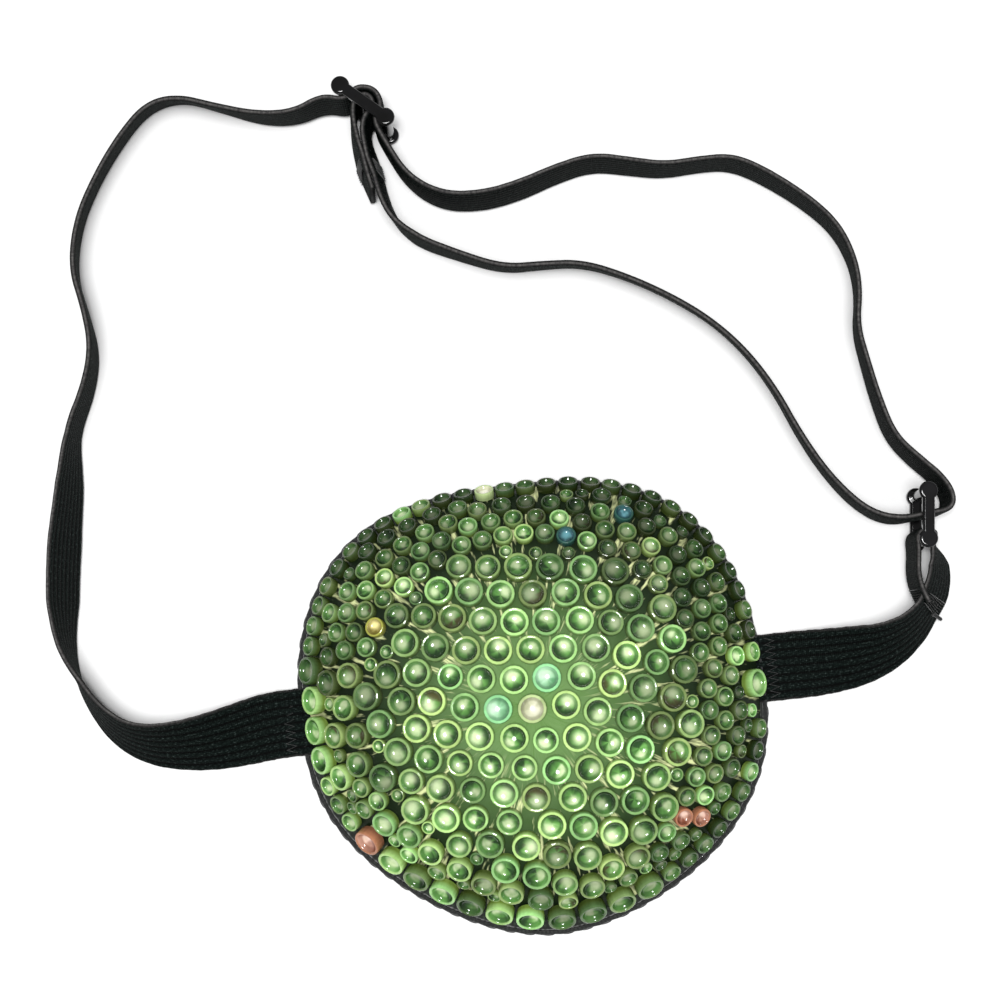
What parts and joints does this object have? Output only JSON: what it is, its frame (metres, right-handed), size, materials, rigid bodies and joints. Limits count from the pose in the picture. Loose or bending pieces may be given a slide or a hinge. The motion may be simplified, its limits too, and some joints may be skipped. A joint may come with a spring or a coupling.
{
  "type": "eye patch",
  "caption": "Domed eye patch covered in green rhinestones, on a black elastic head strap with a ring and a slide adjuster.",
  "frame": {"origin": "middle of the patch's rim, on the plane that the rim rests on", "axes": "+Z out of the dome, +X towards the short strap and the ring, +Y towards the wearer's forehead"},
  "size_m": [0.1353, 0.1337, 0.0157],
  "materials": {
    "shell_felt": "stiff moulded felt",
    "cover_fabric": "black woven cloth",
    "lining_fabric": "soft brushed lining",
    "binding_fabric": "folded bias tape",
    "thread": "polyester thread",
    "glue": "clear set glue",
    "elastic": "ribbed elastic with a slight sheen",
    "hardware": "black gloss nylon",
    "stone_green": "transparent green faceted stone"
  },
  "bodies": {
    "patch": {"moulded_shell": "shell_felt", "outer_cover": "cover_fabric", "lining": "lining_fabric", "edge_binding": "binding_fabric", "binding_stitches": "thread", "glue_bed": "glue", "stone_centre": "stone_green", "stones_ring_1": "stone_green", "stones_ring_2": "stone_green", "stones_ring_3": "stone_green", "stones_ring_4": "stone_green", "stones_ring_5": "stone_green", "stones_field_medium": "stone_green", "stones_field_small": "stone_green", "stones_filler": "stone_green", "stones_rim": "stone_green", "strap_root_left": "elastic", "strap_root_right": "elastic", "root_stitches_left": "thread", "root_stitches_right": "thread"},
    "strap": {"long_strap": "elastic", "short_strap": "elastic", "short_strap_bartack": "thread", "loose_thread": "thread"},
    "slider": {"slider": "hardware", "strap_end_loop": "elastic", "end_loop_bartack": "thread"},
    "ring": {"ring": "hardware"}
  },
  "joints": [
    {"name": "strap_swing", "type": "hinge", "parent": "patch", "child": "strap", "pos_m": [0, 0.002, 0.0011], "axis": [1, 0, 0], "range_deg": [-95, 165], "deforming": ["long_strap", "short_strap"]},
    {"name": "slider_adjust", "type": "slide", "parent": "strap", "child": "slider", "axis": [-0.9854, -0.1701, 0], "range_m": [-0.008, 0.012]},
    {"name": "ring_turn", "type": "hinge", "parent": "strap", "child": "ring", "pos_m": [0.061, 0.0182, 0.0064], "axis": [0, 0, 1], "range_deg": [-12, 12]}
  ]
}
